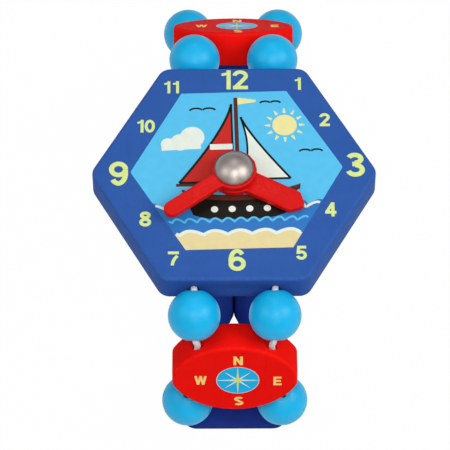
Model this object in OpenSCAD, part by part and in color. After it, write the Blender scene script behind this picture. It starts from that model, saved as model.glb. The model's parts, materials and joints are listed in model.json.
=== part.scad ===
// Toy bracelet watch: a hexagonal wooden dial with two turning hands, on a strap of
// barrel links, blocks, tubes and round beads strung on two elastic cords.
// Millimetres. The dial faces +Z and twelve o'clock points to +Y. The watch stands on
// its two tubes at Z = 0, with the middle of its length and width at X = Y = 0.

/* [Dial] */
// Width of the hexagonal dial across its flats
dial_flats = 38.5; // [34:0.5:46]
// Thickness of the dial
dial_t = 5.5; // [5:0.25:8]
// Radius of the six corners of the dial
dial_corner_r = 2.2; // [1:0.1:4]
// Spacing of the two cord bores through the dial
dial_bore_gap = 12.4; // [11:0.1:15]
// Rounding of the other wooden edges
edge_r = 0.6; // [0.3:0.1:0.9]

/* [Hands and nail] */
// Distance of the pivot from the middle of the dial, towards six o'clock
pivot_drop = 1.1; // [0:0.1:2]
// Thickness of each hand
hand_t = 1.2; // [0.8:0.1:1.6]
// Diameter of the round hub of each hand
hub_d = 7; // [6.4:0.1:9]
// Length of the hour hand from the pivot to its tip
hour_len = 12; // [9:0.1:15]
// Width of the hour hand
hour_w = 3.7; // [2.6:0.1:5]
// Bevel of the two tip corners of the hour hand
hour_bevel = 1.1; // [0.4:0.1:1.2]
// Direction of the hour hand, in degrees clockwise from twelve o'clock
hour_turn = 118; // [0:1:359]
// Length of the minute hand from the pivot to its tip
minute_len = 13; // [10:0.1:16]
// Width of the minute hand
minute_w = 2.6; // [2:0.1:4]
// Direction of the minute hand, in degrees clockwise from twelve o'clock
minute_turn = 234; // [0:1:359]
// Diameter of the domed head of the pivot nail
nail_head_d = 6.1; // [5:0.1:7]
// Height of the domed head
nail_head_h = 1.8; // [1:0.1:2.5]
// Diameter of the shank of the pivot nail
nail_d = 1.6; // [1.2:0.1:2]
// Depth of the nail in the dial, with its point
nail_depth = 4.6; // [3.5:0.1:4.8]

/* [Beads and cords] */
// Diameter of a round bead
bead_d = 8; // [7.4:0.1:9]
// Diameter of every cord bore
bore_d = 2.3; // [2.1:0.1:2.6]
// Diameter of the elastic cord
cord_d = 1; // [0.8:0.1:1.2]
// Diameter of the knot that ties each cord
knot_d = 2.8; // [2:0.1:3]

/* [Barrel links] */
// Width of a barrel link across the strap
link_w = 19.2; // [18.6:0.1:21]
// Length of a barrel link along the strap, at its middle
link_h = 15.5; // [14.4:0.1:17]
// Thickness of a barrel link
link_t = 5.25; // [5:0.25:7]
// Bulge of the two bowed edges of a barrel link, from corner to middle
link_bulge = 4.7; // [3.5:0.1:5]
// Radius of the four corners of a barrel link
link_corner_r = 2; // [1.2:0.1:2.4]
// Spacing of the cord bores of a link at its edge nearest the dial
link_near_gap = 11.2; // [10.4:0.1:12]
// Spacing of the cord bores of a link at its far edge
link_far_gap = 14; // [12.6:0.1:14.4]
// Distance of a link's bores outwards from the middle of its thickness
link_bore_up = 0.7; // [0:0.05:0.9]
// Angle of the front link below the plane of the dial
link_front_angle = 81; // [70:0.5:90]
// Angle of the rear link below the plane of the dial
link_rear_angle = 46.5; // [40:0.5:60]

/* [Blocks and tubes] */
// Width of a block across the strap
block_w = 16; // [15.6:0.1:20]
// Length of the front block along the strap
block_len = 14; // [12:0.1:16]
// Thickness of a block
block_t = 7.1; // [5:0.1:7.5]
// Radius of the four corners of a block
block_corner_r = 2.2; // [1.8:0.1:3]
// Rounding of the edges of a block
block_edge_r = 1.7; // [0.6:0.1:1.8]
// Spacing of the cord bores of a block at its edge nearest the link
block_near_gap = 12.6; // [11:0.1:12.6]
// Spacing of the cord bores of a block at its edge nearest the tubes
block_far_gap = 9.8; // [9.4:0.1:11]
// Angle of the front block below the plane of the dial
block_front_angle = 126.5; // [120:0.5:130]
// Angle of the rear block below the plane of the dial
block_rear_angle = 86; // [80:1:96]
// Diameter of a tube
tube_d = 8; // [7:0.1:9]
// Diameter of the flat ends of a tube
tube_end_d = 4.6; // [4.5:0.1:6]
// Length of the tapered part at each end of a tube
tube_taper = 4; // [2:0.1:6]
// Diameter of the knot pocket at the rear end of a tube
pocket_d = 3.4; // [3.2:0.1:4]
// Depth of the knot pocket
pocket_depth = 12; // [8:0.1:14]

/* [Clearances] */
// Gap between a bead and each piece that it seats on
seat_gap = 0.1; // [0.05:0.05:0.4]
// Gap between the two tubes
tube_gap = 0.1; // [0.05:0.05:0.6]
// Gap between hands, dial and nail head
hand_gap = 0.12; // [0.05:0.01:0.3]
// Radial play of a hand on the nail
hand_play = 0.06; // [0.02:0.01:0.1]

/* [Hidden] */

// Overrun of every cut
over = 1;
// Facets of round bores, beads and revolved pieces
round_fn = 64;
// Facets of rounded corners and edges
corner_fn = 32;
edge_fn = 16;
// Sides of a cord
cord_fn = 8;
// Steps along each bowed edge of a link
bow_steps = 12;
// Share of the length between two route points that a bend of the cord takes up at most
bend_share = 0.45;
// Shares of a bead's radius by which a bead hangs inwards of the piece before it, and the
// piece after it sits outwards of the bead: near and far beads of the front and of the rear
front_hang_shares = [[0.24, 0.6], [0.45, 0.47]];
rear_hang_shares = [[0.3, 0.46], [0.27, 0.54]];
// Shares of a joint's turn at which the bores of the near and far beads dip
dip_shares = [0.38, 0.5];
// Share of the play between bore and cord by which a cord hugs the inside of the near joints
hug_share = 0.4;
// Shares of a joint's sideways step at which the cord enters and leaves its bead
near_bead_shares = [0.1, 0.3];
far_bead_shares = [0.05, 0.3];
two_bead_shares = [0.1, 0.4, 0.6, 0.9];
// Shares of the play between bore and cord by which the near and far beads sit outwards
near_shift_share = 0.4;
far_shift_share = 0.5;
// Length of the nail's point, and depth of its shank in the dial
nail_tip = nail_d;
shank_depth = nail_depth - nail_tip;
// Length of cord that a bend takes up at most
bend_len = cord_d / 2;

bead_r = bead_d / 2;
bore_r = bore_d / 2;
cord_r = cord_d / 2;

// Half of the width between opposite corners of the sharp hexagon
dial_side = dial_flats / sqrt(3);
// Half height at which the cord bores run, below the face of the dial
dial_axis_z = -dial_t / 2;

// Distance of a bead's bore mouth from its centre
pole = sqrt(bead_r * bead_r - bore_r * bore_r);
// Distance of a bead's centre from a flat seat
seat = bead_r + seat_gap;

// Places of the cords across the strap, for one side
dial_x = dial_bore_gap / 2;
link_near_x = link_near_gap / 2;
link_far_x = link_far_gap / 2;
block_near_x = block_near_gap / 2;
block_far_x = block_far_gap / 2;
tube_x = (tube_d + tube_gap) / 2;
near_bead_x = (dial_x + link_near_x) / 2 + near_shift_share * (bore_r - cord_r);
far_bead_x = link_far_x + far_shift_share * (bore_r - cord_r);
low_bead_x = between(block_far_x, tube_x, (two_bead_shares[0] + two_bead_shares[1]) / 2);
base_bead_x = between(block_far_x, tube_x, (two_bead_shares[2] + two_bead_shares[3]) / 2);

function between(a, b, share) = a + (b - a) * share;
// Half distance between a link's corner centres, and the radii of the arc through them and
// of the bowed edge round it
corner_x = link_w / 2 - link_corner_r;
corner_arc_r = (corner_x * corner_x + link_bulge * link_bulge) / (2 * link_bulge);
link_bow_r = corner_arc_r + link_corner_r;
// Drop of a link's bowed edge at a place across the strap
function bow(x) = link_bow_r - sqrt(link_bow_r * link_bow_r - x * x);
// Distance along a link from its bore mouth to the centre of the bead on its bowed edge
function bow_seat(bead_x, mouth_x) =
  sqrt(pow(link_bow_r + seat, 2) - bead_x * bead_x) - link_bow_r + bow(mouth_x);

near_seat = bow_seat(near_bead_x, link_near_x);
far_seat = bow_seat(far_bead_x, link_far_x);
// Length of a link between its bore mouths
link_run = link_h - bow(link_near_x) - bow(link_far_x);

// The strap is worked out in the plane [outwards from the dial, up], one side at a time.
// An angle is how far a piece dips below the plane of the dial.
function step(p, angle, len) = p + len * [cos(angle), -sin(angle)];
// Centre of the bead after a bore mouth, or bore mouth after the centre of a bead
function hung(p, angle, along, share) = step(step(p, angle, along), angle - 90, share * bead_r);
// Free cord between a bore mouth and a bead, and between two beads, where two beads share a turn
function lead(turn) = seat - pole * cos(turn / 4);
function bead_lead(turn) = 2 * bead_r + seat_gap - 2 * pole * cos(turn / 4);

// Route of a cord on one side: mouths of the pieces and of the beads, in order
function side_route(al, ab, len, hang_shares) =
  let (
    m0 = [dial_flats / 2, dial_axis_z],
    c1 = hung(m0, 0, seat, -hang_shares[0][0]),
    d1 = between(0, al, dip_shares[0]),
    m1 = hung(c1, al, near_seat, hang_shares[0][1]),
    m2 = step(m1, al, link_run),
    c2 = hung(m2, al, far_seat, -hang_shares[1][0]),
    d2 = between(al, ab, dip_shares[1]),
    m3 = hung(c2, ab, seat, hang_shares[1][1]),
    m4 = step(m3, ab, len),
    t3 = 180 - ab,
    a3 = step(m4, ab, lead(t3)),
    b3 = step(a3, ab + t3 / 4, 2 * pole),
    a4 = step(b3, ab + t3 / 2, bead_lead(t3)),
    b4 = step(a4, ab + t3 * 3 / 4, 2 * pole),
    m5 = step(b4, 180, lead(t3))
  )
  [m0, step(c1, d1, -pole), step(c1, d1, pole), m1, m2, step(c2, d2, -pole), step(c2, d2, pole),
    m3, m4, a3, b3, a4, b4, m5];

front_route = side_route(link_front_angle, block_front_angle, block_len, front_hang_shares);
// Both ends of the strap come down to the same level, which sets the rear block's length
rear_trial = side_route(link_rear_angle, block_rear_angle, block_len, rear_hang_shares);
level_gap = rear_trial[13][1] - front_route[13][1];
rear_block_len = block_len + level_gap / sin(block_rear_angle);
rear_route = side_route(link_rear_angle, block_rear_angle, rear_block_len, rear_hang_shares);
tube_len = front_route[13][0] + rear_route[13][0];

// Centres of the four beads on one side
function bead_at(route, i) = (route[[1, 5, 9, 11][i]] + route[[2, 6, 10, 12][i]]) / 2;
// Dips of their bores
function bead_angle(route, i) =
  let (v = route[[2, 6, 10, 12][i]] - route[[1, 5, 9, 11][i]]) atan2(-v[1], v[0]);
bead_xs = [near_bead_x, far_bead_x, low_bead_x, base_bead_x];

// Middles of the link and of the block on one side
function link_mid(route, angle) =
  step(step(route[3], angle, link_h / 2 - bow(link_near_x)), angle - 90, -link_bore_up);
function block_mid(route) = (route[7] + route[8]) / 2;

// Furthest reach of a rounded plate along the plane of the dial
function reach(mid, angle, len, t, e) =
  mid[0] + (len / 2 - e) * abs(cos(angle)) + (t / 2 - e) * sin(angle) + e;
function side_reach(route, al, ab, len) = max(
  bead_at(route, 0)[0] + bead_r,
  bead_at(route, 1)[0] + bead_r,
  reach(link_mid(route, al), al, link_h, link_t, edge_r),
  reach(block_mid(route), ab, len, block_t, block_edge_r));
front_reach = side_reach(front_route, link_front_angle, block_front_angle, block_len);
rear_reach = side_reach(rear_route, link_rear_angle, block_rear_angle, rear_block_len);

// Place of the dial's face in the part
dial_y = (front_reach - rear_reach) / 2;
dial_z = tube_d / 2 - front_route[13][1];

hour_z = hand_gap;
minute_z = hour_z + hand_t + hand_gap;
head_z = minute_z + hand_t + hand_gap;

// Moves the strap's plane of work to the part's own frame
module in_part() { translate([0, dial_y, dial_z]) children(); }
// The same for the pivot of the hands
module on_pivot() { translate([0, dial_y - pivot_drop, dial_z]) children(); }

// Places a piece at a point of the strap: its +Y runs down the strap, its +Z outwards
module on_strap(side, p, angle) {
  in_part()
    translate([0, side * p[0], p[1]])
      rotate([-side * angle, 0, 0])
        rotate([0, 0, side < 0 ? 180 : 0])
          children();
}

// Round plate with softened rims, for rounding the corners of a plate
module soft_disc(r, t, e) {
  for (up = [-1, 1])
    translate([0, 0, up * (t / 2 - e)])
      rotate_extrude($fn = corner_fn)
        translate([r - e, 0])
          intersection() {
            circle(e, $fn = edge_fn);
            translate([0, -e]) square([e, 2 * e]);
          }
}

// Plate with the given corner centres, corner radius and softened rims
module soft_plate(corners, r, t, e) {
  hull()
    for (p = corners)
      translate([p[0], p[1], 0]) soft_disc(r, t, e);
}

// Bore between two points of the plane Z = 0
module bore_between(p, q) {
  v = q - p;
  translate([p[0], p[1], 0])
    rotate([0, 0, atan2(v[1], v[0])])
      rotate([0, 90, 0])
        translate([0, 0, -over])
          cylinder(d = bore_d, h = norm(v) + 2 * over, $fn = round_fn);
}

// Hexagonal dial, bored for the cords and for the nail
module dial_block() {
  corner_at = dial_side - dial_corner_r * 2 / sqrt(3);
  color([0.18, 0.33, 0.66])
    in_part()
      difference() {
        translate([0, 0, -dial_t / 2])
          soft_plate([for (i = [0:5]) corner_at * [cos(60 * i), sin(60 * i)]],
            dial_corner_r, dial_t, edge_r);
        translate([0, 0, dial_axis_z])
          for (s = [-1, 1])
            bore_between([s * dial_x, -dial_flats / 2], [s * dial_x, dial_flats / 2]);
        translate([0, -pivot_drop, -shank_depth]) {
          cylinder(d = nail_d, h = shank_depth + over, $fn = round_fn);
          mirror([0, 0, 1]) cylinder(d1 = nail_d, d2 = 0, h = nail_tip, $fn = round_fn);
        }
      }
}

// Hub of a hand, from Z = 0 up, with its rim softened
module hub() {
  e = edge_r / 2;
  rotate_extrude($fn = round_fn) {
    translate([nail_d / 2 + hand_play, 0])
      square([hub_d / 2 - e - nail_d / 2 - hand_play, hand_t]);
    translate([hub_d / 2 - 2 * e, e])
      square([2 * e, hand_t - 2 * e]);
    for (z = [e, hand_t - e])
      translate([hub_d / 2 - e, z]) circle(e, $fn = corner_fn);
  }
}

// Arm of a hand along +Y between its corner centres, clear of the nail
module arm(corners, r) {
  difference() {
    translate([0, 0, hand_t / 2])
      hull()
        for (p = corners)
          translate([p[0], p[1], 0]) soft_disc(r, hand_t, edge_r / 2);
    translate([0, 0, -over])
      cylinder(d = hub_d - 2 * edge_r, h = hand_t + 2 * over, $fn = round_fn);
  }
}

// Hour hand: a broad bar with a bevelled tip
module hour_hand() {
  r = edge_r;
  half = hour_w / 2 - r;
  tip = hour_len - r;
  color([0.82, 0.11, 0.09])
    on_pivot()
      translate([0, 0, hour_z])
        rotate([0, 0, -hour_turn])
          union() {
            hub();
            arm([[-half, 0], [half, 0], [half, tip - hour_bevel], [half - hour_bevel, tip],
              [hour_bevel - half, tip], [-half, tip - hour_bevel]], r);
          }
}

// Minute hand: a narrower bar with a round tip
module minute_hand() {
  r = minute_w / 2;
  color([0.82, 0.11, 0.09])
    on_pivot()
      translate([0, 0, minute_z])
        rotate([0, 0, -minute_turn])
          union() {
            hub();
            arm([[0, 0], [0, minute_len - r]], r);
          }
}

// Pivot nail with a domed head, driven into the dial
module pivot_nail() {
  head_r = nail_head_d / 2;
  dome_r = (head_r * head_r + nail_head_h * nail_head_h) / (2 * nail_head_h);
  color([0.76, 0.74, 0.72])
    on_pivot()
      union() {
        intersection() {
          translate([0, 0, head_z + nail_head_h - dome_r]) sphere(dome_r, $fn = round_fn);
          translate([0, 0, head_z]) cylinder(r = head_r, h = nail_head_h + over, $fn = round_fn);
        }
        translate([0, 0, -shank_depth])
          cylinder(d = nail_d, h = shank_depth + head_z + nail_head_h / 2, $fn = round_fn);
        translate([0, 0, -shank_depth])
          mirror([0, 0, 1])
            cylinder(d1 = nail_d, d2 = 0, h = nail_tip, $fn = round_fn);
      }
}

// Barrel link: two bowed edges and short straight ends, with its bores fanning out
module barrel_link() {
  arc_y = link_h / 2 - link_bow_r;
  arc_end = asin(corner_x / corner_arc_r);
  angles = [for (i = [0:bow_steps]) arc_end * (2 * i / bow_steps - 1)];
  difference() {
    soft_plate([for (s = [-1, 1]) for (a = angles)
      [corner_arc_r * sin(a), s * (arc_y + corner_arc_r * cos(a))]], link_corner_r, link_t, edge_r);
    translate([0, 0, link_bore_up])
      for (s = [-1, 1])
        bore_between([s * link_near_x, bow(link_near_x) - link_h / 2],
          [s * link_far_x, link_h / 2 - bow(link_far_x)]);
  }
}

module link_front() {
  color([0.86, 0.1, 0.08])
    on_strap(-1, link_mid(front_route, link_front_angle), link_front_angle) barrel_link();
}

module link_rear() {
  color([0.86, 0.1, 0.08])
    on_strap(1, link_mid(rear_route, link_rear_angle), link_rear_angle) barrel_link();
}

// Block with rounded corners, its bores drawing in towards the tubes
module strap_block(len) {
  x = block_w / 2 - block_corner_r;
  y = len / 2 - block_corner_r;
  difference() {
    soft_plate([[-x, -y], [x, -y], [x, y], [-x, y]], block_corner_r, block_t, block_edge_r);
    for (s = [-1, 1])
      bore_between([s * block_near_x, -len / 2], [s * block_far_x, len / 2]);
  }
}

module block_front() {
  color([0.14, 0.22, 0.55])
    on_strap(-1, block_mid(front_route), block_front_angle) strap_block(block_len);
}

module block_rear() {
  color([0.14, 0.22, 0.55])
    on_strap(1, block_mid(rear_route), block_rear_angle) strap_block(rear_block_len);
}

// Tube with tapered ends, bored for the cord and counterbored for its knot
module strap_tube(side) {
  color([0.14, 0.22, 0.55])
    in_part()
      translate([side * tube_x, -front_route[13][0], front_route[13][1]])
        rotate([-90, 0, 0])
          rotate_extrude($fn = round_fn)
            polygon([[bore_r, 0], [tube_end_d / 2, 0], [tube_d / 2, tube_taper],
              [tube_d / 2, tube_len - tube_taper], [tube_end_d / 2, tube_len],
              [pocket_d / 2, tube_len], [pocket_d / 2, tube_len - pocket_depth],
              [bore_r, tube_len - pocket_depth]]);
}

module tube_left() { strap_tube(-1); }
module tube_right() { strap_tube(1); }

// Round bead of a joint: end -1 front or 1 rear, side -1 left or 1 right
module bead(end, side, i) {
  route = end < 0 ? front_route : rear_route;
  p = bead_at(route, i);
  color([0.1, 0.68, 0.9])
    in_part()
      translate([side * bead_xs[i], end * p[0], p[1]])
        rotate([-end * bead_angle(route, i), 0, 0])
          rotate([90, 0, 0])
            difference() {
              sphere(bead_r, $fn = round_fn);
              cylinder(d = bore_d, h = bead_d + 2 * over, center = true, $fn = round_fn);
            }
}

// Elastic cord: places across the strap of the route points of one side
cord_xs = concat(
  [dial_x],
  [for (s = near_bead_shares) between(dial_x, link_near_x, s)],
  [link_near_x, link_far_x],
  [for (s = far_bead_shares) between(link_far_x, block_near_x, s)],
  [block_near_x, block_far_x],
  [for (s = two_bead_shares) between(block_far_x, tube_x, s)],
  [tube_x]);
// A taut cord hugs the top of the dial's bores and the inside of the near beads' bores
hug = hug_share * (bore_r - cord_r);
function hugged(route, i) =
  i == 0 ? step(route[i], -90, hug) :
  i < 3 ? step(route[i], bead_angle(route, 0) - 90, -hug) : route[i];
function cord_side(end, route, side) =
  [for (i = [0:13]) let (p = hugged(route, i)) [side * cord_xs[i], end * p[0], p[1]]];
function backwards(list) = [for (i = [len(list) - 1:-1:0]) list[i]];
// Each route point becomes the two ends of a short bend
function eased(a, p, b) =
  let (k = min(bend_len, bend_share * norm(a - p), bend_share * norm(b - p)))
  [p + (a - p) * k / norm(a - p), p + (b - p) * k / norm(b - p)];
function cord_points(side) =
  let (
    loop = concat(cord_side(-1, front_route, side), backwards(cord_side(1, rear_route, side))),
    n = len(loop)
  )
  [for (i = [0:n - 1]) for (q = eased(loop[(i + n - 1) % n], loop[i], loop[(i + 1) % n])) q];
// The knot is a stretch of fatter rings in the pocket of the tube, in shares of its half
// length and of its swelling
knot_at = rear_route[13][0] - pocket_depth + knot_d;
knot_shares = [[-1, 1], [-0.5, 1.8], [0, 2], [0.5, 1.8], [1, 1]];
function knot_points(side) =
  [for (k = knot_shares) [side * tube_x, knot_at + k[0] * knot_d / 2, front_route[13][1]]];
knot_radii = [for (k = knot_shares) between(cord_r, knot_d / 2, k[1] - 1)];

// Closed tube swept round a loop of points, with one radius per point
module swept_loop(points, radii) {
  n = len(points);
  rings = [for (i = [0:n - 1])
    let (
      v = points[(i + 1) % n] - points[(i + n - 1) % n],
      t = v / norm(v),
      w = [1, 0, 0] - t[0] * t,
      a = w / norm(w),
      b = cross(t, a)
    )
    for (j = [0:cord_fn - 1])
      points[i] + radii[i] * (cos(360 * j / cord_fn) * a + sin(360 * j / cord_fn) * b)];
  faces = [for (i = [0:n - 1]) for (j = [0:cord_fn - 1])
    let (
      p = i * cord_fn + j,
      q = i * cord_fn + (j + 1) % cord_fn,
      r = ((i + 1) % n) * cord_fn + j,
      s = ((i + 1) % n) * cord_fn + (j + 1) % cord_fn
    )
    for (f = [[p, r, q], [q, r, s]]) f];
  polyhedron(points = rings, faces = faces);
}

module cord(side) {
  loop = cord_points(side);
  half = len(loop) / 2;
  head = [for (i = [0:half - 1]) loop[i]];
  tail = [for (i = [half:len(loop) - 1]) loop[i]];
  color([0.93, 0.93, 0.91])
    in_part()
      swept_loop(concat(head, knot_points(side), tail),
        concat([for (p = head) cord_r], knot_radii, [for (p = tail) cord_r]));
}

module cord_left() { cord(-1); }
module cord_right() { cord(1); }

dial_block();
hour_hand();
minute_hand();
pivot_nail();
link_front();
link_rear();
block_front();
block_rear();
tube_left();
tube_right();
bead(-1, -1, 0);  // bead_near_front_left
bead(-1, 1, 0);  // bead_near_front_right
bead(-1, -1, 1);  // bead_far_front_left
bead(-1, 1, 1);  // bead_far_front_right
bead(-1, -1, 2);  // bead_low_front_left
bead(-1, 1, 2);  // bead_low_front_right
bead(-1, -1, 3);  // bead_base_front_left
bead(-1, 1, 3);  // bead_base_front_right
bead(1, -1, 0);  // bead_near_rear_left
bead(1, 1, 0);  // bead_near_rear_right
bead(1, -1, 1);  // bead_far_rear_left
bead(1, 1, 1);  // bead_far_rear_right
bead(1, -1, 2);  // bead_low_rear_left
bead(1, 1, 2);  // bead_low_rear_right
bead(1, -1, 3);  // bead_base_rear_left
bead(1, 1, 3);  // bead_base_rear_right
cord_left();
cord_right();
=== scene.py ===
"""Looks of a wooden toy watch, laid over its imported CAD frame.

Tables and profiles are in millimetres and become metres as a mesh is finished. A flat piece is
worked out in its own plane first: X across the strap, Y down the strap, Z outwards.
"""

import json

import bpy
import numpy as np
from bpy.props import FloatProperty, FloatVectorProperty, PointerProperty
from bpy.types import Operator, Panel, PropertyGroup
from mathutils import Matrix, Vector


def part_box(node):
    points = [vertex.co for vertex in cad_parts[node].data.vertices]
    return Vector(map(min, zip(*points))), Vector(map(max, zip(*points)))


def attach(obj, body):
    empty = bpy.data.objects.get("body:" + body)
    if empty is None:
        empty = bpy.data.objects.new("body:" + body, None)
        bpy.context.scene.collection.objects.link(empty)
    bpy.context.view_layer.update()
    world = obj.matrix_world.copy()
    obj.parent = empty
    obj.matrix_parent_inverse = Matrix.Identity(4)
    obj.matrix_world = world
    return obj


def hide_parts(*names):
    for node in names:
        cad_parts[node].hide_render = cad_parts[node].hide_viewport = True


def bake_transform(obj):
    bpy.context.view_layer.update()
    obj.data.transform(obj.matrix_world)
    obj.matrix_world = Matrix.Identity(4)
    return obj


bl_info = {
    "name": "Toy watch looks",
    "version": (1, 0, 0),
    "blender": (4, 5, 0),
    "location": "3D View > Sidebar > Toy watch",
    "description": "Painted wood, prints, nail and cords of a toy watch over its CAD frame",
    "category": "Object",
}

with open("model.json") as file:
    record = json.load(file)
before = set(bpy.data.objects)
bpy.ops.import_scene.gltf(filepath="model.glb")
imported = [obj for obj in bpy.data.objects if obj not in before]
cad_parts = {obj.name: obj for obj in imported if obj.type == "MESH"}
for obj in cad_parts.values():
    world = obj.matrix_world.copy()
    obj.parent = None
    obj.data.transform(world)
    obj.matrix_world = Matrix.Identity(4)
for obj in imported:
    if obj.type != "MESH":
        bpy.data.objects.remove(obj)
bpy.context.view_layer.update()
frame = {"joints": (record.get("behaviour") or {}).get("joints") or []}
JOINTS = {joint["name"]: joint for joint in frame["joints"]}
MM = 0.001
ENDS = {"front": -1, "rear": 1}
SIDES = {"left": -1, "right": 1}
BEADS = ("near", "far", "low", "base")

# How far each strap piece dips below the plane of the dial, in degrees
LINK_DIPS = {"front": 81.0, "rear": 46.5}
BLOCK_DIPS = {"front": 126.5, "rear": 86.0}
# Places of the cords across the strap: dial, near and far edge of link and of block, tube
DIAL_X, NEAR_X, FAR_X, BLOCK_NEAR_X, BLOCK_X, TUBE_X = 6.2, 5.6, 7.0, 6.3, 4.9, 4.05
# Shares of the cords' step across the strap at the mouths in each turn of their route
NEAR_SHARES, FAR_SHARES = (0, 0.1, 0.3, 1), (0, 0.05, 0.3, 1)
LOW_SHARES = (0, 0.1, 0.4, 0.6, 0.9, 1)
# Share of the play in a near bead's bore by which the cord lies inwards, and of the bead's length
# that the cord under the dial reaches into it
HUG_SHARE, MOUTH_SHARE = 0.4, 0.06
# Directions of the hands, in degrees clockwise from twelve o'clock
HOUR_TURN, MINUTE_TURN = 118.0, 234.0
# Fillet from hand to hub, play of a hand on the nail, roll of the nail's rim and its point's radius
HAND_FILLET, HAND_PLAY, NAIL_ROLL, NAIL_POINT = 0.5, 0.06, 0.16, 0.02
# Softening of a tube's ends, and of the knee where its taper starts
TUBE_SOFT, TUBE_KNEE = 0.25, 1.0
# Knot: half its length as a share of its diameter, half the depth of its ridges as a share of its
# radius, and their winding in radians per millimetre
KNOT_REACH, KNOT_RIDGE, KNOT_TWIST = 0.75, 0.12, 4.5
# Depth of a printed film in the paint, rise of its first layer, and step from layer to layer
FILM_SINK, FILM_RISE, FILM_STEP = 0.05, 0.006, 0.004
# Strokes of numbers and letters: thickness of large and of small signs as shares of their height,
# and thickness of a one's flag and of a W as shares of that
LARGE_STROKE, SMALL_STROKE, LARGE_HEIGHT = 0.185, 0.2, 3.0
FLAG_SHARE, W_SHARE = 0.72, 0.86

# Numbers of the dial: middle to the right and up from the dial's middle, and height
NUMBERS = (
    ("12", -0.03, 16.95, 3.56),
    ("1", 9.91, 16.18, 2.3),
    ("2", 14.12, 9.47, 2.4),
    ("3", 18.71, 1.2, 4.37),
    ("4", 14.8, -6.86, 2.51),
    ("5", 10.18, -14.55, 2.47),
    ("6", 0.41, -15.78, 3.88),
    ("7", -9.29, -15.48, 2.47),
    ("8", -13.62, -8.46, 2.68),
    ("9", -17.82, -0.27, 4.36),
    ("10", -13.76, 8.39, 2.35),
    ("11", -9.83, 15.6, 2.25),
)
# Letters of the compass: middle to the right and up from the middle of its disc
LETTERS = (("N", 0.06, 4.85), ("S", 0.16, -5.25), ("W", -5.7, 0.0), ("E", 6.1, -0.2))
COMPASS_MIDDLES = {"front": (0.45, -0.05), "rear": (0.6, -0.3)}
# The picture's turn in degrees, and its shift right and up
PICTURE_LEAN, PICTURE_SHIFT = 1.5, (0.4, 0.4)

# Painted wood: name of the finish, its roughness, its gloss, and the wear of its edges
FINISHES = {
    "dial": ("satin_blue_lacquer_on_beech", 0.45, 0.012, 0.4),
    "hand": ("gloss_red_lacquer_on_plywood", 0.36, 0.1, 0.3),
    "link": ("satin_red_lacquer_on_beech", 0.5, 0.008, 0.2),
    "block": ("dark_blue_lacquer_on_beech", 0.55, 0.006, 0.1),
    "bead": ("light_blue_lacquer_on_turned_beech", 0.42, 0.38, 0.3),
}
# Spacing of grain lines and their run, of mottling, orange peel and flecks of worn paint
GRAIN, GRAIN_RUN, MOTTLE, PEEL, FLECK = 0.45, 7.0, 4.0, 0.8, 0.35
# Spacing of patches and specks in ink, and of smears and scratches on the nail with their run
PATCH, SPECK, SMEAR, SCRATCH, SCRATCH_RUN = 1.2, 0.25, 1.5, 0.15, 3.0
# Spacing of the braid's threads along a cord, and their number round it
THREAD, THREADS_ROUND = 0.45, 8.0
# Shift of the pattern from piece to piece, so that no two look alike
LINK_DRIFT, BLOCK_DRIFT, BEAD_DRIFT, COMPASS_DRIFT = 31.0, 57.0, 13.7, 9.0
TUBE_DRIFTS = {"left": 80.0, "right": 160.0}
# Angles in degrees from which an edge is sharp: wood, prints, beads and cords
WOOD_SHARP, PRINT_SHARP, BEAD_SHARP, CORD_SHARP = 38.0, 20.0, 60.0, 80.0
# Gloss of the inks
INK_GLOSS = 0.12
# Relief of paint, of ink and plate, and of the braid, in metres
PAINT_RELIEF, PLATE_RELIEF, BRAID_RELIEF = 0.04 * MM, 0.02 * MM, 0.08 * MM

# Softboxes: name, place and side in metres, watts
LAMPS = (
    ("right_softbox", (0.42, -0.1, 0.45), 0.3, 1.5),
    ("left_softbox", (-0.42, -0.1, 0.45), 0.3, 0.7),
    ("camera_softbox", (0.03, -0.34, 0.66), 0.3, 1.6),
    ("top_softbox", (0.0, 0.36, 0.66), 0.3, 0.5),
    ("front_softbox", (0.02, -0.56, 0.36), 0.2, 0.28),
)
# Strength of the light from all round; the floor's reach in metres, its grey, and the share of it
# that shows as plain white
TENT, FLOOR_REACH, PAPER, PLAIN_SHARE = 0.22, 3.0, 0.72, 0.985
# Camera: degrees above the floor and of roll, distance and clips in metres, lens and sensor, and
# aim to the right and up from the middle of the dial's face
CAMERA_RISE, CAMERA_ROLL, CAMERA_DISTANCE, CAMERA_CLIPS = 58.98, 0.2, 0.5552, (0.05, 20.0)
LENS, SENSOR, CAMERA_AIM = 288.0, 36.0, (-1.394, -8.217)


def linear(code):
    """sRGB hex to linear: c / 12.92 up to 0.04045, else ((c + 0.055) / 1.055) to the power 2.4."""
    c = np.array([int(code[i : i + 2], 16) for i in (1, 3, 5)]) / 255
    return tuple(float(v) for v in np.where(c <= 0.04045, c / 12.92, ((c + 0.055) / 1.055) ** 2.4))


def size_property(name, description, mm):
    """A length of the panel, given in millimetres."""
    return FloatProperty(
        name=name,
        description=description,
        default=mm * MM,
        min=0,
        unit="LENGTH",
        precision=5,
    )


def colour_property(name, description, code):
    """A colour of the panel, given as sRGB hex."""
    return FloatVectorProperty(
        name=name,
        description=description,
        default=linear(code),
        size=3,
        min=0,
        max=1,
        subtype="COLOR",
    )


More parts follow.
